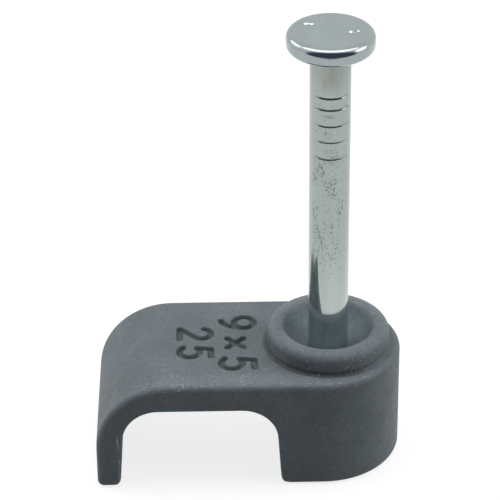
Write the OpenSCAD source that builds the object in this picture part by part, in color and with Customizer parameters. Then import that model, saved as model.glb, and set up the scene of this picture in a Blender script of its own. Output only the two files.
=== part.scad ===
// Nail-in cable clip: a saddle clip for flat cable, with its hardened nail standing ready in the block.
// The wall is the plane z = 0, the nail's axis is the Z axis, and the cable runs along Y.

/* [Cable channel] */

// Width of the channel at the wall
channel_w = 8.95; // [8:0.05:11]
// Height of the channel above the wall
channel_h = 5; // [4.5:0.05:6]
// Radius of the channel's two upper corners
channel_corner_r = 2; // [1:0.1:2.5]
// Draft of each side of the channel, in degrees
channel_draft = 3.5; // [3:0.5:4]

/* [Moulding] */

// Width of the clip along the cable
clip_w = 8.7; // [8:0.1:12]
// Thickness of the saddle over the cable
saddle_t = 1.65; // [1.2:0.05:2.4]
// Thickness of the leg at the wall
leg_t = 1.28; // [1:0.02:1.8]
// Outer radius of the bend between saddle and leg
bend_r = 4.2; // [3:0.1:4.8]
// Distance from the nail's axis to the channel, at the wall
nail_to_channel = 2.68; // [2.3:0.02:4]
// Distance from the nail's axis to the outside of the round end
nail_to_end = 4; // [3.98:0.01:5]
// Rounding of the moulding's outer edges
edge_r = 0.35; // [0.2:0.05:0.35]
// Rounding of the channel's front and back mouths
mouth_r = 0.2; // [0.1:0.05:0.4]

/* [Nail collar] */

// Outer diameter of the collar round the nail
collar_d = 6.8; // [6.4:0.1:6.8]
// Height of the collar above the saddle
collar_h = 1.25; // [0.8:0.05:2.5]
// Radius of the collar's round rim
collar_rim_r = 0.57; // [0.5:0.01:0.65]
// Rounding where the collar rises from the saddle
collar_fillet_r = 0.2; // [0.1:0.05:0.2]
// Diameter of the cup that the head is driven into, where it leaves the collar's rim
cup_d = 5; // [4.8:0.05:5.4]
// Depth of the cup below its mouth, measured on the nail's axis
cup_depth = 1.7; // [1.3:0.05:2.2]

/* [Nail] */

// Length of the nail, from its point to the top of its head
nail_length = 25; // [20:0.5:40]
// Height of the nail's point above the wall, before the nail is driven
nail_lift = 1; // [0:0.02:2]
// Diameter of the shank
shank_d = 2.2; // [1.8:0.05:2.4]
// Diameter of the head
head_d = 4.7; // [3.6:0.05:4.75]
// Thickness of the head
head_t = 1; // [0.8:0.02:1.8]
// Rounding of the head's upper and lower edges
head_edge_r = 0.35; // [0.1:0.05:0.35]
// Length of the four-sided point
point_length = 3.4; // [2.4:0.1:4]
// Number of grip marks across the shank
grip_count = 5; // [3:1:8]
// Distance between grip marks
grip_pitch = 0.92; // [0.6:0.01:1.5]
// Distance from the underside of the head to the first grip mark
grip_start = 2.4; // [1:0.1:4]
// Radius of the groove of a grip mark
grip_r = 0.09; // [0.05:0.01:0.15]
// Angle that each grip mark spans round the shank, in degrees
grip_angle = 120; // [60:10:160]
// Play between the shank and its bore, on the diameter
nail_play = 0.02; // [0.01:0.01:0.1]

/* [Hidden] */

$fn = 96;

plastic_color = "#6f777b";
steel_color = "#c3c6c2";

margin = 1;
half_w = clip_w / 2;
top_z = channel_h + saddle_t;
channel_half_w = channel_w / 2;
channel_x = -nail_to_channel - channel_half_w;
left_x = -nail_to_channel - channel_w - leg_t;
bend_x = left_x + bend_r;
bend_z = top_z - bend_r;
end_x = nail_to_end - half_w;

corner_z = channel_h - channel_corner_r;
corner_x = channel_half_w_at(corner_z) - channel_corner_r / cos(channel_draft);
wall_top_x = corner_x + channel_corner_r * cos(channel_draft);
wall_top_z = corner_z + channel_corner_r * sin(channel_draft);
foot_x = channel_half_w_at(edge_r) + edge_r / cos(channel_draft);

collar_r = collar_d / 2;
rim_x = collar_r - collar_rim_r;
rim_z = top_z + collar_h - collar_rim_r;
cup_r = cup_d / 2;
cup_mouth_z = rim_z + sqrt(pow(collar_rim_r, 2) - pow(rim_x - cup_r, 2));
cup_round_r = (pow(cup_r, 2) + pow(cup_depth, 2)) / (2 * cup_depth);
cup_round_z = cup_mouth_z - cup_depth + cup_round_r;

shank_r = shank_d / 2;
bore_r = shank_r + nail_play / 2;
head_r = head_d / 2;
head_top_z = nail_lift + nail_length;
head_under_z = head_top_z - head_t;
point_angle = atan(shank_r / point_length);

// Half width of the channel at a height above the wall
function channel_half_w_at(z) = channel_half_w - z * tan(channel_draft);

// Section of a rim: a rectangle from low to high, rounded at the two corners of its far side
module rim_section(reach, low, high, rounding) {
    translate([0, low + rounding]) square([reach, high - low - 2 * rounding]);
    if (reach > rounding) translate([0, low]) square([reach - rounding, high - low]);
    intersection() {
        translate([0, low]) square([reach, high - low]);
        for (y = [low + rounding, high - rounding])
            translate([reach - rounding, y]) circle(rounding);
    }
}

// Quarter turn about an axis along Y, with both its rims rounded
module turned_corner(reach, start_angle) {
    rotate([90, 0, 0])
        rotate_extrude(angle = 90, start = start_angle)
            rim_section(reach, -half_w, half_w, edge_r);
}

// Outside of the moulding, without channel, collar and bore
module envelope() {
    // Round end, turned about an upright axis
    translate([end_x, 0, 0])
        rotate_extrude(angle = 180, start = -90)
            rim_section(half_w, 0, top_z, edge_r);

    // Straight run from the bend to the round end
    translate([bend_x, 0, 0])
        rotate([90, 0, 90])
            linear_extrude(end_x - bend_x) {
                rim_section(half_w, 0, top_z, edge_r);
                mirror([1, 0]) rim_section(half_w, 0, top_z, edge_r);
            }

    // Bend between saddle and leg
    translate([bend_x, 0, bend_z])
        turned_corner(bend_r, 90);

    // Leg
    translate([bend_x, 0, edge_r])
        mirror([1, 0, 0])
            linear_extrude(bend_z - edge_r)
                rim_section(bend_r, -half_w, half_w, edge_r);

    // Edges of the leg at the wall
    translate([left_x + edge_r, 0, edge_r]) {
        turned_corner(edge_r, 180);
        rotate([0, 90, 0])
            linear_extrude(bend_r - edge_r)
                rim_section(edge_r, -half_w, half_w, edge_r);
    }
}

// Right half of the channel's outline, about its middle, with the edge at the wall rounded
module channel_half_outline() {
    polygon([
        [0, -margin],
        [channel_half_w_at(-margin), -margin],
        [wall_top_x, wall_top_z],
        [corner_x, channel_h],
        [0, channel_h]
    ]);
    translate([corner_x, corner_z]) circle(channel_corner_r);
    difference() {
        translate([corner_x, -margin]) square([foot_x - corner_x, margin + edge_r]);
        translate([foot_x, edge_r]) circle(edge_r);
    }
}

// Section that rounds an edge: what lies outside a quarter circle
module mouth_section() {
    difference() {
        square(2 * mouth_r, center = true);
        translate([mouth_r, mouth_r]) circle(mouth_r);
    }
}

// Rounding of the back mouth's right half: up the side, round the corner and along the top
module mouth_rounding() {
    translate([wall_top_x, half_w, wall_top_z])
        rotate([180, -channel_draft, 0])
            linear_extrude((wall_top_z + margin) / cos(channel_draft))
                mouth_section();
    translate([corner_x, 0, corner_z])
        rotate([90, 0, 0])
            rotate_extrude(angle = 90 - channel_draft, start = channel_draft)
                translate([channel_corner_r, -half_w]) mouth_section();
    translate([0, half_w, channel_h])
        rotate([180, -90, 0])
            linear_extrude(corner_x)
                mouth_section();
}

module channel() {
    translate([channel_x, 0, 0]) {
        rotate([90, 0, 0])
            linear_extrude(clip_w + 2 * margin, center = true) {
                channel_half_outline();
                mirror([1, 0]) channel_half_outline();
            }
        for (across = [0, 1], along = [0, 1])
            mirror([across, 0, 0]) mirror([0, along, 0]) mouth_rounding();
    }
}

// Solid collar with a round rim and a fillet at its foot
module collar() {
    foot_z = top_z - collar_rim_r;
    rotate_extrude() {
        translate([0, foot_z]) square([collar_r, rim_z - foot_z]);
        translate([0, foot_z]) square([rim_x, rim_z + collar_rim_r / 2 - foot_z]);
        translate([rim_x, rim_z]) circle(collar_rim_r);
        difference() {
            translate([rim_x, foot_z]) square(collar_rim_r + collar_fillet_r);
            translate([collar_r + collar_fillet_r, top_z + collar_fillet_r]) circle(collar_fillet_r);
        }
    }
}

// Round-bottomed cup inside the collar, and the nail's bore through the block
module nail_well() {
    rotate_extrude() {
        intersection() {
            translate([0, cup_round_z - cup_round_r]) square([cup_round_r, 2 * cup_round_r]);
            translate([0, cup_round_z]) circle(cup_round_r);
        }
        translate([0, -margin]) square([bore_r, cup_round_z + margin]);
    }
}

module clip_body() {
    color(plastic_color)
        difference() {
            union() {
                envelope();
                collar();
            }
            channel();
            nail_well();
        }
}

module nail_section() {
    translate([0, nail_lift]) square([shank_r, nail_length - head_t / 2]);
    rim_section(head_r, head_under_z, head_top_z, head_edge_r);
}

// One flat of the point, cut away on the side of +X
module point_flat() {
    translate([0, -shank_d, nail_lift])
        rotate([0, point_angle, 0])
            translate([0, 0, -shank_d])
                cube([shank_d, 2 * shank_d, 3 * point_length]);
}

module grip_mark() {
    rotate_extrude(angle = grip_angle, start = -90 - grip_angle / 2)
        translate([shank_r, 0]) circle(grip_r, $fn = 24);
}

module nail() {
    color(steel_color)
        difference() {
            rotate_extrude() nail_section();
            for (turn = [0 : 90 : 270]) rotate(turn) point_flat();
            for (mark = [0 : grip_count - 1], turn = [0, 180])
                translate([0, 0, head_under_z - grip_start - mark * grip_pitch])
                    rotate(turn) grip_mark();
        }
}

clip_body();
nail();
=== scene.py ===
"""Nail-in cable clip: looks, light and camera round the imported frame. Lengths are in metres."""
import math

import bmesh
import bpy
import numpy as np
from mathutils import Matrix, Vector

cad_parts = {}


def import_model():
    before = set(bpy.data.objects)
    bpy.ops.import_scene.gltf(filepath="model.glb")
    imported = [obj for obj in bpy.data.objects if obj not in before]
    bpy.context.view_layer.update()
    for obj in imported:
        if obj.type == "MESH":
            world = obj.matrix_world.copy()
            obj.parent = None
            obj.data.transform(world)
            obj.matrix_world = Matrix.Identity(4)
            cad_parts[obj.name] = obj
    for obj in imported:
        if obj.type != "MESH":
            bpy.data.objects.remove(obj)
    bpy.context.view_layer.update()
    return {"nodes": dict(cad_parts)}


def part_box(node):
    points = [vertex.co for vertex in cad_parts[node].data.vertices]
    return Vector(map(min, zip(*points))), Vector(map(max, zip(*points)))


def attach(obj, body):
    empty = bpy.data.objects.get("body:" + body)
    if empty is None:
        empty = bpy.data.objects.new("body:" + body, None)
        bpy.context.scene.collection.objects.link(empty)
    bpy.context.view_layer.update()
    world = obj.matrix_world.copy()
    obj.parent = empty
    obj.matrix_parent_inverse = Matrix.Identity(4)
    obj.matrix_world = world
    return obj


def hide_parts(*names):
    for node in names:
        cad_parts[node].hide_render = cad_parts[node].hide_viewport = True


MM = 0.001

# Camera, fitted to the photograph's outline
CAMERA_LENS_MM = 186.347
CAMERA_DISTANCE = 140.727 * MM
CAMERA_ELEVATION = math.radians(32.205)
CAMERA_YAW = math.radians(-0.632)
CAMERA_ROLL = math.radians(-0.538)
CAMERA_TARGET = Vector((-4.2848 * MM, 0, 12.7152 * MM))

# Mesh work: how near counts as touching, and which edges stay sharp
WELD = 0.0005 * MM
CUT_SNAP = 0.0001 * MM
TOUCH = 0.001 * MM
FLAT_ANGLE = math.radians(0.05)
SHARP_ANGLE = math.radians(40)

# Saddle's flat top, and the panel of it that holds the size mark
SADDLE_TOP = 6.65 * MM
PANEL_LEFT = -8.7 * MM
PANEL_RIGHT = -3.7 * MM
PANEL_HALF = 3.5 * MM
PANEL_GRID = 0.032 * MM
PANEL_RIM = 0.05 * MM
MARK_DEPTH = 0.26 * MM
MARK_HALF_WIDTH = 0.16 * MM
MARK_SOFT = 0.06 * MM

# Channel, and the rounding of its mouths, which grows to that of the other edges near the wall
CHANNEL_MIDDLE = -7.155 * MM
CHANNEL_HALF = 4.475 * MM
CHANNEL_DRAFT = math.radians(3.5)
CLIP_HALF = 4.35 * MM
MOUTH_ROUND = 0.2 * MM
FOOT_ROUND = 0.35 * MM
FOOT_HEIGHT = 1.1 * MM
FOOT_ROWS = 22
FOOT_REACH = 0.45 * MM
FOOT_SLACK = 0.01 * MM

# Nail
SHANK_RADIUS = 1.1 * MM
HEAD_THICKNESS = 1 * MM
HEAD_EDGE = 0.35 * MM
HEAD_FILLET = 0.06 * MM
POINT_LENGTH = 3.4 * MM
NAIL_SEGMENTS = 180

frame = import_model()
scene = bpy.context.scene


def new_object(name, mesh):
    piece = bpy.data.objects.new(name, mesh)
    scene.collection.objects.link(piece)
    return piece


def mesh_from(name, vertices, faces):
    mesh = bpy.data.meshes.new(name)
    mesh.from_pydata(vertices, [], faces)
    mesh.validate()
    return mesh


def smooth(mesh):
    mesh.shade_smooth()
    mesh.set_sharp_from_angle(angle=SHARP_ANGLE)


def ease(low, high, value):
    """0 below low, 1 above high, and a smooth rise between them."""
    share = min(max((value - low) / (high - low), 0), 1)
    return share * share * (3 - 2 * share)


# Size mark: strokes of plain digits, as paths in units of the digit's height

def arc(centre, radii, start, stop, steps=28):
    """Points on an ellipse from one angle to another, in degrees."""
    points = []
    for step in range(steps + 1):
        angle = math.radians(start + (stop - start) * step / steps)
        points.append((centre[0] + radii[0] * math.cos(angle), centre[1] + radii[1] * math.sin(angle)))
    return points


def nine():
    loop = arc((0.3, 0.7), (0.29, 0.3), 0, 360)
    tail = arc((0.08, 0.7), (0.51, 0.7), 0, -78)
    return [loop, tail]


def five():
    bowl = arc((0.27, 0.32), (0.31, 0.32), 125, -140)
    return [[(0.54, 1), (0.13, 1), (0.07, 0.56)] + bowl]


def two():
    hook = arc((0.29, 0.71), (0.28, 0.29), 165, -35)
    return [hook + [(0.01, 0), (0.58, 0)]]


def times():
    return [[(0.06, 0.2), (0.54, 0.68)], [(0.06, 0.68), (0.54, 0.2)]]


# Digits of each row, and in millimetres its foot along X, its height, where it starts along Y, and its pitch
MARK_ROWS = [
    ([nine, times, five], -5.95, 1.85, 2.55, 2),
    ([two, five], -8.25, 1.75, 1.45, 1.8),
]


def row_strokes(glyphs, foot_x, height, first_y, pitch):
    """Paths of a row that reads towards -Y, with the digits' tops towards +X."""
    paths = []
    for index, glyph in enumerate(glyphs):
        start_y = first_y - index * pitch
        for path in glyph():
            paths.append([((foot_x + v * height) * MM, (start_y - u * height) * MM) for u, v in path])
    return paths


def mark_height(places):
    """Height of the saddle's top at places on it, with the size mark sunk in."""
    nearest = np.full(len(places), np.inf)
    for row in MARK_ROWS:
        for path in row_strokes(*row):
            for start, end in zip(np.array(path[:-1]), np.array(path[1:])):
                run = end - start
                share = np.clip((places - start) @ run / (run @ run), 0, 1)
                gap = np.linalg.norm(places - start - share[:, None] * run, axis=1)
                nearest = np.minimum(nearest, gap)
    inner, outer = MARK_HALF_WIDTH - MARK_SOFT, MARK_HALF_WIDTH + MARK_SOFT
    return [SADDLE_TOP - MARK_DEPTH * (1 - ease(inner, outer, gap)) for gap in nearest]


# Moulding

def split(work, faces, point, normal):
    """Cuts faces along a plane."""
    edges = list(dict.fromkeys(edge for face in faces for edge in face.edges))
    vertices = list(dict.fromkeys(vertex for face in faces for vertex in face.verts))
    parts = faces + edges + vertices
    bmesh.ops.bisect_plane(work, geom=parts, dist=CUT_SNAP, plane_co=point, plane_no=normal)


def flat_top(work):
    """Faces of the saddle's flat top."""
    faces = []
    for face in work.faces:
        if all(abs(vertex.co.z - SADDLE_TOP) < TOUCH for vertex in face.verts):
            faces.append(face)
    return faces


def open_panel(work):
    """Takes the panel that holds the size mark out of the saddle's flat top."""
    for x in (PANEL_LEFT, PANEL_RIGHT):
        split(work, flat_top(work), (x, 0, 0), (1, 0, 0))
    for y in (-PANEL_HALF, PANEL_HALF):
        split(work, flat_top(work), (0, y, 0), (0, 1, 0))
    panel = []
    for face in flat_top(work):
        middle = face.calc_center_median()
        if PANEL_LEFT < middle.x < PANEL_RIGHT and abs(middle.y) < PANEL_HALF:
            panel.append(face)
    bmesh.ops.delete(work, geom=panel, context="FACES")


def marked_panel(work):
    """Fills the panel's place with a fine grid that holds the size mark."""
    low = np.array((PANEL_LEFT + PANEL_RIM, -PANEL_HALF + PANEL_RIM))
    high = np.array((PANEL_RIGHT - PANEL_RIM, PANEL_HALF - PANEL_RIM))
    columns, rows = np.ceil((high - low) / PANEL_GRID).astype(int)
    xs = np.linspace(low[0], high[0], columns + 1)
    ys = np.linspace(low[1], high[1], rows + 1)
    places = np.array([(x, y) for x in xs for y in ys])
    points = []
    sunk = work.verts.layers.float.new("sunk")
    for (x, y), z in zip(places, mark_height(places)):
        point = work.verts.new((x, y, z))
        point[sunk] = (SADDLE_TOP - z) / MARK_DEPTH
        points.append(point)
    for column in range(columns):
        for row in range(rows):
            corner = column * (rows + 1) + row
            across = corner + rows + 1
            work.faces.new((points[corner], points[across], points[across + 1], points[corner + 1]))
    open_edges = [edge for edge in work.edges if len(edge.link_faces) == 1]
    bmesh.ops.triangle_fill(work, edges=open_edges, use_beauty=True, normal=(0, 0, 1))


def foot_distances(point):
    """How far a point lies inside the channel's side, inside the mouth and above the wall."""
    side = abs(point.x - CHANNEL_MIDDLE) - CHANNEL_HALF + point.z * math.tan(CHANNEL_DRAFT)
    return Vector((side * math.cos(CHANNEL_DRAFT), CLIP_HALF - abs(point.y), point.z))


def near_foot(inside, reach):
    """Whether distances are those of a point near a foot corner."""
    return -FOOT_SLACK < inside.x < reach and inside.y < reach and inside.z < FOOT_HEIGHT


def feet(work):
    """Faces that touch a foot corner."""
    faces = []
    for face in work.faces:
        if any(near_foot(foot_distances(vertex.co), FOOT_REACH) for vertex in face.verts):
            faces.append(face)
    return faces


def round_feet(work):
    """Rounds the corners where the channel's mouths meet the wall."""
    for side in (-1, 1):
        split(work, feet(work), (CHANNEL_MIDDLE + side * (CHANNEL_HALF + FOOT_REACH), 0, 0), (1, 0, 0))
        split(work, feet(work), (0, side * (CLIP_HALF - FOOT_REACH), 0), (0, 1, 0))
    for row in range(1, FOOT_ROWS + 1):
        split(work, feet(work), (0, 0, FOOT_HEIGHT * row / FOOT_ROWS), (0, 0, 1))
    for vertex in work.verts:
        inside = foot_distances(vertex.co)
        if not near_foot(inside, FOOT_ROUND):
            continue
        rounding = FOOT_ROUND + (MOUTH_ROUND - FOOT_ROUND) * ease(FOOT_ROUND, FOOT_HEIGHT, inside.z)
        short = Vector([max(rounding - part, 0) for part in inside])
        if short.length <= rounding:
            continue
        change = short * (1 - rounding / short.length)
        side = 1 if vertex.co.x > CHANNEL_MIDDLE else -1
        end = 1 if vertex.co.y > 0 else -1
        sideways = change.x / math.cos(CHANNEL_DRAFT) - change.z * math.tan(CHANNEL_DRAFT)
        vertex.co += Vector((side * sideways, -end * change.y, change.z))


def moulding():
    """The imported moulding, with rounder foot corners and the size mark sunk into its saddle."""
    work = bmesh.new()
    work.from_mesh(frame["nodes"]["clip_body"].data)
    bmesh.ops.remove_doubles(work, verts=work.verts, dist=WELD)
    bmesh.ops.dissolve_limit(work, angle_limit=FLAT_ANGLE, verts=work.verts, edges=work.edges)
    round_feet(work)
    open_panel(work)
    marked_panel(work)
    mesh = bpy.data.meshes.new("moulding")
    work.to_mesh(mesh)
    work.free()
    piece = new_object("moulding", mesh)
    smooth(mesh)
    weighted = piece.modifiers.new("weighted", "WEIGHTED_NORMAL")
    weighted.keep_sharp = True
    weighted.weight = 100
    return piece


# Nail: turned about its axis, with grip marks and dents pressed into it

NAIL_LOW, NAIL_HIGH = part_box("nail")
HEAD_RADIUS = NAIL_HIGH.x
HEAD_FLAT = HEAD_RADIUS - HEAD_EDGE
HEAD_TOP = NAIL_HIGH.z
HEAD_UNDER = HEAD_TOP - HEAD_THICKNESS

# Rows of points: up the point, up the shank, across each grip mark, round each edge and over the head's top
POINT_STEPS = 24
SHANK_STEP = 0.12 * MM
GRIP_STEPS = 6
GRIP_STEP = 0.02 * MM
EDGE_STEPS = 8
TOP_STEPS = 80
HEIGHT_DIGITS = 7

# Height, middle angle, half angle and depth of each grip mark and scratch on the shank's front
GRIPS = [
    (22.59, -88, 62, 0.034),
    (21.91, -80, 72, 0.031),
    (20.93, -80, 70, 0.026),
    (19.97, -78, 70, 0.019),
    (18.95, -92, 66, 0.022),
    (21.6, -110, 32, 0.007),
    (21.5, -98, 26, 0.006),
    (20.55, -110, 28, 0.005),
    (20.42, -98, 22, 0.004),
    (19.52, -98, 32, 0.004),
    (19.36, -86, 24, 0.003),
]

# Half width of a mark, the share of its half angle that is at full depth, and the depth that holds full
# painted shade
GRIP_HALF_WIDTH = 0.037 * MM
GRIP_FULL = 0.55
GRIP_SHADE_DEPTH = 0.05 * MM

# Place, half length along X and Y, and depth of each dent in the head's top
DENTS = [
    (-1.28, 0.86, 0.19, 0.1, 0.085),
    (-0.95, 0.82, 0.16, 0.09, 0.075),
    (-1.5, 0.5, 0.14, 0.07, 0.035),
    (-1.2, 0.4, 0.1, 0.06, 0.03),
    (1.02, -0.13, 0.15, 0.11, 0.09),
    (1.24, -0.2, 0.1, 0.07, 0.06),
    (1.42, -0.06, 0.13, 0.1, 0.08),
    (1.6, -0.32, 0.1, 0.07, 0.045),
    (1.63, 0.86, 0.09, 0.06, 0.03),
]

# Pitting and the dull patch: middle angle and spread in degrees, and the heights where they come and go
PIT_ANGLE = -100
PIT_SPREAD = 60
PIT_STARTS = (9.5 * MM, 15 * MM)
PIT_THINS = (18.4 * MM, 19.8 * MM)
PIT_THINNED = 0.4
PIT_ENDS = (22 * MM, 24 * MM)
DULL_ANGLE = -90
DULL_SPREAD = 26
DULL_STARTS = (22.7 * MM, 23.5 * MM)
DULL_ENDS = (24.4 * MM, 24.9 * MM)

# Satin top of the head: how far from its rim it is full, and the depth at which a dent is bright
SATIN_RIM = 0.12 * MM
SATIN_DENT = (0.002 * MM, 0.02 * MM)

LAYERS = ("grip_shade", "pitting", "dulling", "satin")


def profile():
    """Radius and height along the nail, from its point to the middle of its head."""
    points = []
    for step in range(1, POINT_STEPS + 1):
        points.append((SHANK_RADIUS, NAIL_LOW.z + POINT_LENGTH * step / POINT_STEPS))
    heights = set()
    shank_low = NAIL_LOW.z + POINT_LENGTH
    for step in range(1, int((HEAD_UNDER - shank_low) / SHANK_STEP)):
        heights.add(round(shank_low + step * SHANK_STEP, HEIGHT_DIGITS))
    for height, *_ in GRIPS:
        for step in range(-GRIP_STEPS, GRIP_STEPS + 1):
            heights.add(round(height * MM + step * GRIP_STEP, HEIGHT_DIGITS))
    points += [(SHANK_RADIUS, z) for z in sorted(heights) if z < HEAD_UNDER - 2 * HEAD_FILLET]
    quarter = [math.pi / 2 * step / EDGE_STEPS for step in range(EDGE_STEPS + 1)]
    for angle in quarter:
        radius = SHANK_RADIUS + HEAD_FILLET * (1 - math.cos(angle))
        points.append((radius, HEAD_UNDER - HEAD_FILLET * (1 - math.sin(angle))))
    for angle in quarter:
        radius = HEAD_FLAT + HEAD_EDGE * math.sin(angle)
        points.append((radius, HEAD_UNDER + HEAD_EDGE * (1 - math.cos(angle))))
    for angle in quarter:
        radius = HEAD_FLAT + HEAD_EDGE * math.cos(angle)
        points.append((radius, HEAD_TOP - HEAD_EDGE * (1 - math.sin(angle))))
    for step in range(1, TOP_STEPS):
        points.append((HEAD_FLAT * (1 - step / TOP_STEPS), HEAD_TOP))
    return points


def grip_depth(angle, height):
    """How deep the grip marks, which lie on the front and on the back, cut at a place on the shank."""
    deepest = 0
    for grip_height, middle, half_angle, depth in GRIPS:
        off = abs((math.degrees(angle) - middle + 90) % 180 - 90)
        fade = 1 - ease(GRIP_FULL * half_angle, half_angle, off)
        shape = math.exp(-((height - grip_height * MM) / GRIP_HALF_WIDTH) ** 2)
        deepest = max(deepest, depth * MM * fade * shape)
    return deepest


def dent_depth(x, y):
    """How deep the dents are at a place on the head's top."""
    total = 0
    for dent_x, dent_y, half_x, half_y, depth in DENTS:
        off = ((x / MM - dent_x) / half_x) ** 2 + ((y / MM - dent_y) / half_y) ** 2
        total += depth * MM * math.exp(-off)
    return total


def nail_radius(radius, height, angle):
    """The turned radius, less the four flats of the point."""
    rise = height - NAIL_LOW.z
    if rise < POINT_LENGTH:
        flat = rise * SHANK_RADIUS / POINT_LENGTH
        return min(radius, flat / max(abs(math.cos(angle)), abs(math.sin(angle))))
    return radius


def wear(angle, height):
    """Share of pitting: most on the shank's front, below the grip marks."""
    off = (math.degrees(angle) - PIT_ANGLE) / PIT_SPREAD
    band = ease(*PIT_STARTS, height) * (1 - PIT_THINNED * ease(*PIT_THINS, height))
    band *= 1 - ease(*PIT_ENDS, height)
    return band * math.exp(-off * off)


def smudge(angle, height):
    """Share of the dull patch on the shank's front, under the head."""
    off = (math.degrees(angle) - DULL_ANGLE) / DULL_SPREAD
    band = ease(*DULL_STARTS, height) * (1 - ease(*DULL_ENDS, height))
    return band * math.exp(-off * off)


def satin_share(x, y, height):
    """1 on the head's flat top, 0 on its rim and in its dents."""
    if height < HEAD_TOP:
        return 0.0
    rim = ease(0, SATIN_RIM, HEAD_FLAT - math.hypot(x, y))
    return rim * (1 - ease(*SATIN_DENT, dent_depth(x, y)))


def nail():
    rows = profile()
    vertices = [(0, 0, NAIL_LOW.z)]
    shares = [(0.0, 0.0, 0.0, 0.0)]
    for radius, height in rows:
        for segment in range(NAIL_SEGMENTS):
            angle = 2 * math.pi * segment / NAIL_SEGMENTS - math.pi
            depth = grip_depth(angle, height) if height < HEAD_UNDER - HEAD_EDGE else 0
            reach = nail_radius(radius, height, angle) - depth
            x, y = reach * math.cos(angle), reach * math.sin(angle)
            sink = dent_depth(x, y) if height == HEAD_TOP else 0
            vertices.append((x, y, height - sink))
            marks = (wear(angle, height), smudge(angle, height), satin_share(x, y, height))
            shares.append((depth / GRIP_SHADE_DEPTH, *marks))
    vertices.append((0, 0, HEAD_TOP))
    shares.append((0.0, 0.0, 0.0, 1.0))
    top = len(vertices) - 1
    faces = []
    for segment in range(NAIL_SEGMENTS):
        after = (segment + 1) % NAIL_SEGMENTS
        faces.append((0, 1 + after, 1 + segment))
        for row in range(len(rows) - 1):
            low, high = 1 + row * NAIL_SEGMENTS, 1 + (row + 1) * NAIL_SEGMENTS
            faces.append((low + segment, low + after, high + after, high + segment))
        last = 1 + (len(rows) - 1) * NAIL_SEGMENTS
        faces.append((last + segment, last + after, top))
    piece = new_object("nail_finish", mesh_from("nail_finish", vertices, faces))
    for name, values in zip(LAYERS, zip(*shares)):
        layer = piece.data.attributes.new(name, "FLOAT", "POINT")
        layer.data.foreach_set("value", values)
    smooth(piece.data)
    return piece


# Node helpers

# Sockets of a Mix node, for colours and for numbers: its two values and its result
MIX_SOCKETS = {"RGBA": (6, 7, 2), "FLOAT": (2, 3, 0)}


def grey(value):
    return (value, value, value)


def shader(name):
    material = bpy.data.materials.new(name)
    material.use_nodes = True
    tree = material.node_tree
    return material, tree, tree.nodes["Principled BSDF"]


def feed(tree, socket, value):
    """Links a socket to what feeds it, or sets a plain number or colour on it."""
    if isinstance(value, bpy.types.NodeSocket):
        tree.links.new(value, socket)
    elif isinstance(value, tuple):
        socket.default_value = (*value, 1)
    else:
        socket.default_value = value


def place(tree):
    """Coordinates of a place on the object."""
    coordinates = tree.nodes.new("ShaderNodeTexCoord")
    parts = tree.nodes.new("ShaderNodeSeparateXYZ")
    tree.links.new(coordinates.outputs["Object"], parts.inputs["Vector"])
    return parts.outputs["X"], parts.outputs["Y"], parts.outputs["Z"]


def noise(tree, turns, detail, upright=1):
    """Noise over the object's own coordinates, in turns per metre, with a share of those turns along Z."""
    coordinates = tree.nodes.new("ShaderNodeTexCoord")
    mapping = tree.nodes.new("ShaderNodeMapping")
    mapping.inputs["Scale"].default_value = (1, 1, upright)
    texture = tree.nodes.new("ShaderNodeTexNoise")
    texture.inputs["Scale"].default_value = turns
    texture.inputs["Detail"].default_value = detail
    tree.links.new(coordinates.outputs["Object"], mapping.inputs["Vector"])
    tree.links.new(mapping.outputs["Vector"], texture.inputs["Vector"])
    return texture.outputs["Fac"]


def attribute(tree, name):
    node = tree.nodes.new("ShaderNodeAttribute")
    node.attribute_name = name
    return node.outputs["Fac"]


def calculate(tree, operation, first, second):
    """One sum on two values, of which the second may be a number."""
    node = tree.nodes.new("ShaderNodeMath")
    node.operation = operation
    feed(tree, node.inputs[0], first)
    feed(tree, node.inputs[1], second)
    return node.outputs[0]


def product(tree, *factors):
    total = factors[0]
    for factor in factors[1:]:
        total = calculate(tree, "MULTIPLY", total, factor)
    return total


def distance(tree, first, second):
    """How far two values lie apart."""
    return calculate(tree, "ABSOLUTE", calculate(tree, "SUBTRACT", first, second), 0.0)


def map_range(tree, source, source_range, result_range, interpolation="SMOOTHSTEP"):
    node = tree.nodes.new("ShaderNodeMapRange")
    node.interpolation_type = interpolation
    node.inputs["From Min"].default_value, node.inputs["From Max"].default_value = source_range
    node.inputs["To Min"].default_value, node.inputs["To Max"].default_value = result_range
    tree.links.new(source, node.inputs["Value"])
    return node.outputs["Result"]


def ramp(tree, source, stops):
    """Colours or greys at positions along a value."""
    node = tree.nodes.new("ShaderNodeValToRGB")
    elements = node.color_ramp.elements
    while len(elements) < len(stops):
        elements.new(0.5)
    for element, (position, colour) in zip(elements, stops):
        element.position = position
        element.color = (*colour, 1)
    tree.links.new(source, node.inputs["Fac"])
    return node.outputs["Color"]


def by_height(tree, stops):
    """Colours at heights above the wall, given in millimetres."""
    _, _, z = place(tree)
    low, high = stops[0][0], stops[-1][0]
    share = map_range(tree, z, (low * MM, high * MM), (0, 1), "LINEAR")
    return ramp(tree, share, [((height - low) / (high - low), colour) for height, colour in stops])


def mix(tree, factor, first, second, kind="RGBA"):
    """The second value where the factor is 1, and the first where it is 0."""
    node = tree.nodes.new("ShaderNodeMix")
    node.data_type = kind
    tree.links.new(factor, node.inputs["Factor"])
    first_socket, second_socket, result = MIX_SOCKETS[kind]
    feed(tree, node.inputs[first_socket], first)
    feed(tree, node.inputs[second_socket], second)
    return node.outputs[result]


def bump(tree, principled, source, depth, strength):
    node = tree.nodes.new("ShaderNodeBump")
    node.inputs["Strength"].default_value = strength
    node.inputs["Distance"].default_value = depth
    tree.links.new(source, node.inputs["Height"])
    tree.links.new(node.outputs["Normal"], principled.inputs["Normal"])


# Plastic

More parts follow.
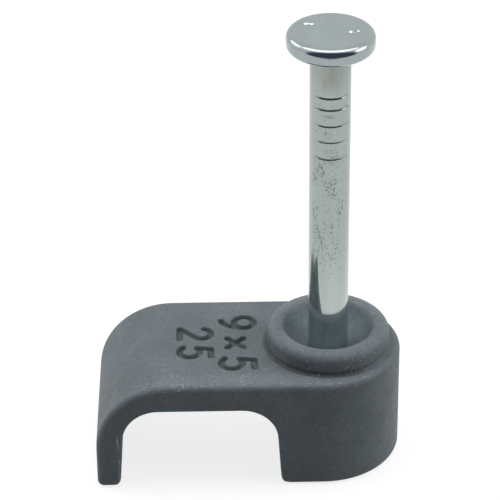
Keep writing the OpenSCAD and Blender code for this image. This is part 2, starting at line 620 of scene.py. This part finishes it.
PLASTIC_DARK = (0.136, 0.163, 0.176)
PLASTIC_PALE = (0.178, 0.207, 0.222)
# Paler tone of a rub and painted highlight on the saddle's front edge, and of a painted highlight on the
# collar's rim
RUB_AND_HIGHLIGHT_TONE = (0.2, 0.231, 0.246)
# Painted light inside the cup
PAINTED_CUP_LIGHT_TONE = (0.2, 0.25, 0.268)
MOTTLE_TONE = (0.105, 0.124, 0.134)
# Painted shade in the size mark's grooves
PAINTED_GROOVE_SHADE_TONE = (0.06, 0.068, 0.074)
# Painted shade in the crease round the collar's foot
PAINTED_CREASE_SHADE_TONE = (0.045, 0.052, 0.058)
# Painted highlight along the leg's inner front edge
PAINTED_EDGE_HIGHLIGHT_TONE = (0.62, 0.63, 0.62)
DUST_TONE = (0.55, 0.57, 0.58)

# Share of the painted shade that the size mark's grooves and the collar's crease take
PAINTED_GROOVE_SHADE_SHARE = 0.6
PAINTED_CREASE_SHADE_SHARE = 0.85

# Painted shade round the collar's foot, painted light in its cup, and a painted highlight beside the leg's
# inner front edge
CREASE_SHADE_RADIUS = 3.46 * MM
CUP_RADIUS = 2.5 * MM
CUP_SOFT = 0.15 * MM
EDGE_HIGHLIGHT_X = -11.54 * MM
EDGE_HIGHLIGHT_WANDER = 0.4 * MM

MOULD_GRAIN = 0.013 * MM


def from_axis(tree):
    """Distance from the nail's axis."""
    x, y, _ = place(tree)
    square = calculate(tree, "ADD", product(tree, x, x), product(tree, y, y))
    return calculate(tree, "POWER", square, 0.5)


def painted_cup_light(tree):
    """Share of the painted light, a paler and cooler tone, inside the cup."""
    _, _, z = place(tree)
    inside = map_range(tree, from_axis(tree), (CUP_RADIUS - CUP_SOFT, CUP_RADIUS + CUP_SOFT), (1, 0))
    above = map_range(tree, z, (5 * MM, 6 * MM), (0, 0.8))
    return product(tree, inside, above)


def painted_crease_shade(tree):
    """Share of painted shade in the crease round the collar's foot, less towards the round end."""
    x, _, z = place(tree)
    off = distance(tree, from_axis(tree), CREASE_SHADE_RADIUS)
    ring = map_range(tree, off, (0.06 * MM, 0.22 * MM), (1, 0))
    under = map_range(tree, z, (SADDLE_TOP - 0.3 * MM, SADDLE_TOP - 0.1 * MM), (0, 1))
    over = map_range(tree, z, (SADDLE_TOP + 0.1 * MM, SADDLE_TOP + 0.35 * MM), (1, 0))
    along = map_range(tree, x, (1.2 * MM, 3 * MM), (1, 0.25))
    return product(tree, ring, under, over, along)


def painted_edge_highlight(tree):
    """Share of the painted highlight along the leg's inner front edge."""
    x, y, z = place(tree)
    wander = product(tree, noise(tree, turns=700, detail=4), EDGE_HIGHLIGHT_WANDER)
    off = distance(tree, calculate(tree, "ADD", x, wander), EDGE_HIGHLIGHT_X)
    line = map_range(tree, off, (0.03 * MM, 0.085 * MM), (1, 0))
    front = map_range(tree, y, (-4.2 * MM, -4 * MM), (1, 0))
    low = map_range(tree, z, (0.2 * MM, 0.5 * MM), (0, 1))
    high = map_range(tree, z, (3 * MM, 3.7 * MM), (1, 0))
    broken = map_range(tree, noise(tree, turns=2600, detail=3, upright=0.35), (0.4, 0.62), (0.1, 1))
    return product(tree, line, front, low, high, broken)


def rub_and_highlight(tree):
    """Share of the paler tone: a rub and painted highlight along the saddle's front edge, and a painted
    highlight on the collar's rim.
    """
    _, y, z = place(tree)
    front = map_range(tree, y, (-3.5 * MM, -2.8 * MM), (0.7, 0))
    top = map_range(tree, z, (SADDLE_TOP - 0.15 * MM, SADDLE_TOP - 0.02 * MM), (0, 1))
    flat = map_range(tree, z, (SADDLE_TOP + 0.02 * MM, SADDLE_TOP + 0.2 * MM), (1, 0))
    rim = map_range(tree, z, (SADDLE_TOP + 0.8 * MM, SADDLE_TOP + 1.2 * MM), (0, 0.9))
    return calculate(tree, "MAXIMUM", product(tree, front, top, flat), rim)


def dust(tree):
    """Share of pale specks: in patches, and most on the upper front."""
    _, y, z = place(tree)
    front = map_range(tree, y, (-3.4 * MM, -1 * MM), (0.065, 0))
    upper = map_range(tree, z, (5.9 * MM, 6.6 * MM), (0, 1))
    patches = map_range(tree, noise(tree, turns=900, detail=3), (0.42, 0.68), (0, 0.075))
    grain = calculate(tree, "ADD", noise(tree, turns=12000, detail=2), product(tree, front, upper))
    grain = calculate(tree, "ADD", grain, patches)
    return ramp(tree, grain, [(0.73, grey(0)), (0.83, grey(0.9))])


def plastic():
    material, tree, principled = shader("moulded_plastic")
    clouds = noise(tree, turns=500, detail=8)
    tone = ramp(tree, clouds, [(0.3, PLASTIC_DARK), (0.7, PLASTIC_PALE)])
    # Rub and painted highlight on the saddle's front edge, painted highlight on the collar's rim
    tone = mix(tree, rub_and_highlight(tree), tone, RUB_AND_HIGHLIGHT_TONE)
    # Painted light inside the cup
    tone = mix(tree, painted_cup_light(tree), tone, PAINTED_CUP_LIGHT_TONE)
    mottle = ramp(tree, noise(tree, turns=4200, detail=4), [(0.38, grey(0.35)), (0.55, grey(0))])
    colour = mix(tree, mottle, tone, MOTTLE_TONE)
    # Painted shade in the size mark's grooves, as deep as they are sunk
    painted_groove_shade = product(tree, attribute(tree, "sunk"), PAINTED_GROOVE_SHADE_SHARE)
    colour = mix(tree, painted_groove_shade, colour, PAINTED_GROOVE_SHADE_TONE)
    # Painted shade in the crease round the collar's foot
    colour = mix(tree, product(tree, painted_crease_shade(tree), PAINTED_CREASE_SHADE_SHARE), colour, PAINTED_CREASE_SHADE_TONE)
    # Painted highlight along the leg's inner front edge
    colour = mix(tree, painted_edge_highlight(tree), colour, PAINTED_EDGE_HIGHLIGHT_TONE)
    colour = mix(tree, dust(tree), colour, DUST_TONE)
    tree.links.new(colour, principled.inputs["Base Color"])
    rough = ramp(tree, noise(tree, turns=2500, detail=3), [(0.3, grey(0.5)), (0.7, grey(0.64))])
    tree.links.new(rough, principled.inputs["Roughness"])
    principled.inputs["Specular IOR Level"].default_value = 0.3
    bump(tree, principled, noise(tree, turns=9000, detail=4), depth=MOULD_GRAIN, strength=0.6)
    return material


# Zinc plate

# Heights in millimetres, with the plating's colour and its share of bare metal there. The colour holds
# painted shade low in the cup and just under the head, and painted light on the shank in and above the cup
PLATE_AND_PAINTED_LIGHT = [
    (6.2, (0.4, 0.45, 0.49)),
    (7.4, (0.5, 0.56, 0.6)),
    (9, (0.5, 0.56, 0.59)),
    (9.45, (0.46, 0.52, 0.5)),
    (11.2, (0.43, 0.485, 0.46)),
    (14.4, (0.362, 0.415, 0.396)),
    (22.7, (0.358, 0.402, 0.383)),
    (24.1, (0.31, 0.35, 0.325)),
    (24.9, (0.31, 0.35, 0.33)),
    (25.2, (0.34, 0.385, 0.39)),
]
METAL = [
    (6.2, grey(0.8)),
    (9, grey(0.8)),
    (9.4, grey(0.92)),
    (13, grey(0.94)),
    (15, grey(1)),
]
DRAWN_TONE = (0.24, 0.27, 0.26)
DULL_TONE = (0.22, 0.225, 0.2)
PIT_TONE = (0.185, 0.21, 0.21)
# Painted shade in the grip marks and scratches
GRIP_SHADE_TONE = (0.03, 0.032, 0.04)

# Roughness that the satin top adds, and the depth of the ripples along the wire
SATIN_ROUGHNESS = 0.38
WIRE_RIPPLE = 0.01 * MM


def zinc():
    material, tree, principled = shader("bright_zinc")
    tree.links.new(by_height(tree, METAL), principled.inputs["Metallic"])
    # Plating colour by height, with painted shade low in the cup and under the head, and painted light in and
    # above the cup
    plate_and_painted_light = by_height(tree, PLATE_AND_PAINTED_LIGHT)
    lines = noise(tree, turns=900, detail=4, upright=0.08)
    tone = mix(tree, ramp(tree, lines, [(0.35, grey(0.25)), (0.65, grey(0))]), plate_and_painted_light, DRAWN_TONE)
    blotch = map_range(tree, noise(tree, turns=2000, detail=4, upright=0.4), (0.35, 0.6), (0.35, 0.85))
    tone = mix(tree, product(tree, attribute(tree, "dulling"), blotch), tone, DULL_TONE)
    clusters = map_range(tree, noise(tree, turns=1500, detail=4, upright=0.5), (0.38, 0.62), (0.07, 0.22))
    worn = product(tree, attribute(tree, "pitting"), clusters)
    pits = calculate(tree, "SUBTRACT", noise(tree, turns=12000, detail=4, upright=0.5), worn)
    spotted = mix(tree, ramp(tree, pits, [(0.25, grey(1)), (0.33, grey(0))]), tone, PIT_TONE)
    broken = map_range(tree, noise(tree, turns=3500, detail=3), (0.32, 0.55), (0.4, 1))
    # Painted shade in the grip marks and scratches, darker where they cut deeper
    colour = mix(tree, product(tree, attribute(tree, "grip_shade"), broken), spotted, GRIP_SHADE_TONE)
    tree.links.new(colour, principled.inputs["Base Color"])
    gloss = map_range(tree, noise(tree, turns=1500, detail=3, upright=0.2), (0.3, 0.7), (0.08, 0.15))
    satin = product(tree, attribute(tree, "satin"), SATIN_ROUGHNESS)
    tree.links.new(calculate(tree, "ADD", gloss, satin), principled.inputs["Roughness"])
    ripples = noise(tree, turns=2400, detail=4, upright=0.1)
    bump(tree, principled, ripples, depth=WIRE_RIPPLE, strength=0.3)
    return material


# Stage

WHITE = (1, 1, 1)

# The floor ends in front of the object, so that the head's rim mirrors the dark front of the room
FLOOR_SIZE = 2.0
FLOOR_FRONT = 60 * MM
FLOOR_DROP = 0.01 * MM
FLOOR_COLOUR = 0.3
FLOOR_GLOW = 0.81

# Strength of the surroundings, towards the camera's side and elsewhere, and where one turns into the other
FRONT_LIGHT = 0.05
ROOM_LIGHT = 0.5
SOFT_EDGE = (-0.65, -0.25)
FRONT_MIRRORED = 0.15
ROOM_MIRRORED = 1.0
SHARP_EDGE = (-0.55, -0.35)
FRONT_TINT = (0.6, 0.65, 1.0)

# Name, place, target, width and height, and watts of each lamp
LAMPS = [
    ("key", (-0.02, 0.02, 0.3), (-0.02, 0.01, 0.006), (0.5, 0.18), 0.45),
    ("left", (-0.2, 0.1, 0.16), (0, 0, 0.006), (0.16, 0.16), 0.095),
    ("right", (0.22, -0.03, 0.12), (0, 0, 0.005), (0.15, 0.15), 0.135),
]


def seen_directly(tree):
    """1 for what the camera, a mirror or a glass sees, and 0 for light that only bounces."""
    path = tree.nodes.new("ShaderNodeLightPath")
    seen = path.outputs["Is Camera Ray"]
    for other in ("Is Glossy Ray", "Is Transmission Ray"):
        seen = calculate(tree, "MAXIMUM", seen, path.outputs[other])
    return seen


def floor():
    half = FLOOR_SIZE / 2
    corners = [(-half, -FLOOR_FRONT, 0), (half, -FLOOR_FRONT, 0), (half, half, 0), (-half, half, 0)]
    piece = new_object("floor", mesh_from("floor", corners, [(0, 1, 2, 3)]))
    piece.location.z = -FLOOR_DROP
    material, tree, principled = shader("white_floor")
    principled.inputs["Base Color"].default_value = (*grey(FLOOR_COLOUR), 1)
    principled.inputs["Roughness"].default_value = 0.9
    principled.inputs["Specular IOR Level"].default_value = 0
    principled.inputs["Emission Color"].default_value = (*WHITE, 1)
    glow = product(tree, seen_directly(tree), FLOOR_GLOW)
    tree.links.new(glow, principled.inputs["Emission Strength"])
    piece.data.materials.append(material)


def world():
    """White surroundings, with the dark room behind the camera that metal and front faces see."""
    scene.world = bpy.data.worlds.new("studio")
    scene.world.use_nodes = True
    tree = scene.world.node_tree
    background = tree.nodes["Background"]
    coordinates = tree.nodes.new("ShaderNodeTexCoord")
    direction = tree.nodes.new("ShaderNodeSeparateXYZ")
    tree.links.new(coordinates.outputs["Generated"], direction.inputs["Vector"])
    depth = direction.outputs["Y"]
    lighting = map_range(tree, depth, SOFT_EDGE, (FRONT_LIGHT, ROOM_LIGHT))
    mirrored = map_range(tree, depth, SHARP_EDGE, (FRONT_MIRRORED, ROOM_MIRRORED))
    behind = map_range(tree, depth, SHARP_EDGE, (0, 1))
    path = tree.nodes.new("ShaderNodeLightPath")
    seen = path.outputs["Is Camera Ray"]
    colour = mix(tree, seen, mix(tree, behind, FRONT_TINT, WHITE), WHITE)
    tree.links.new(colour, background.inputs["Color"])
    strength = mix(tree, seen_directly(tree), lighting, mirrored, "FLOAT")
    strength = mix(tree, seen, strength, 1.0, "FLOAT")
    tree.links.new(strength, background.inputs["Strength"])


def softbox(name, position, target, size, watts):
    light = bpy.data.lights.new(name, "AREA")
    light.shape = "ELLIPSE"
    light.size, light.size_y = size
    light.energy = watts
    lamp = bpy.data.objects.new(name, light)
    lamp.location = position
    lamp.rotation_mode = "QUATERNION"
    lamp.rotation_quaternion = (Vector(target) - Vector(position)).to_track_quat("-Z", "Y")
    scene.collection.objects.link(lamp)


def camera():
    back = Vector((
        math.sin(CAMERA_YAW) * math.cos(CAMERA_ELEVATION),
        -math.cos(CAMERA_YAW) * math.cos(CAMERA_ELEVATION),
        math.sin(CAMERA_ELEVATION),
    ))
    level = Vector((math.cos(CAMERA_YAW), math.sin(CAMERA_YAW), 0))
    right = Matrix.Rotation(CAMERA_ROLL, 3, back) @ level
    up = back.cross(right)
    data = bpy.data.cameras.new("camera")
    data.lens = CAMERA_LENS_MM
    data.clip_start = 1 * MM
    viewer = bpy.data.objects.new("camera", data)
    axes = Matrix((right, up, back)).transposed().to_4x4()
    viewer.matrix_world = Matrix.Translation(CAMERA_TARGET + back * CAMERA_DISTANCE) @ axes
    scene.collection.objects.link(viewer)
    scene.camera = viewer


for made, node, slot, finish in (
    (moulding(), "clip_body", "plastic", plastic()),
    (nail(), "nail", "steel", zinc()),
):
    made.data.materials.clear()
    made.data.materials.append(finish)
    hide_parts(node)
    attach(made, "root")

camera()
floor()
world()
for lamp in LAMPS:
    softbox(*lamp)
scene.view_settings.view_transform = "Standard"
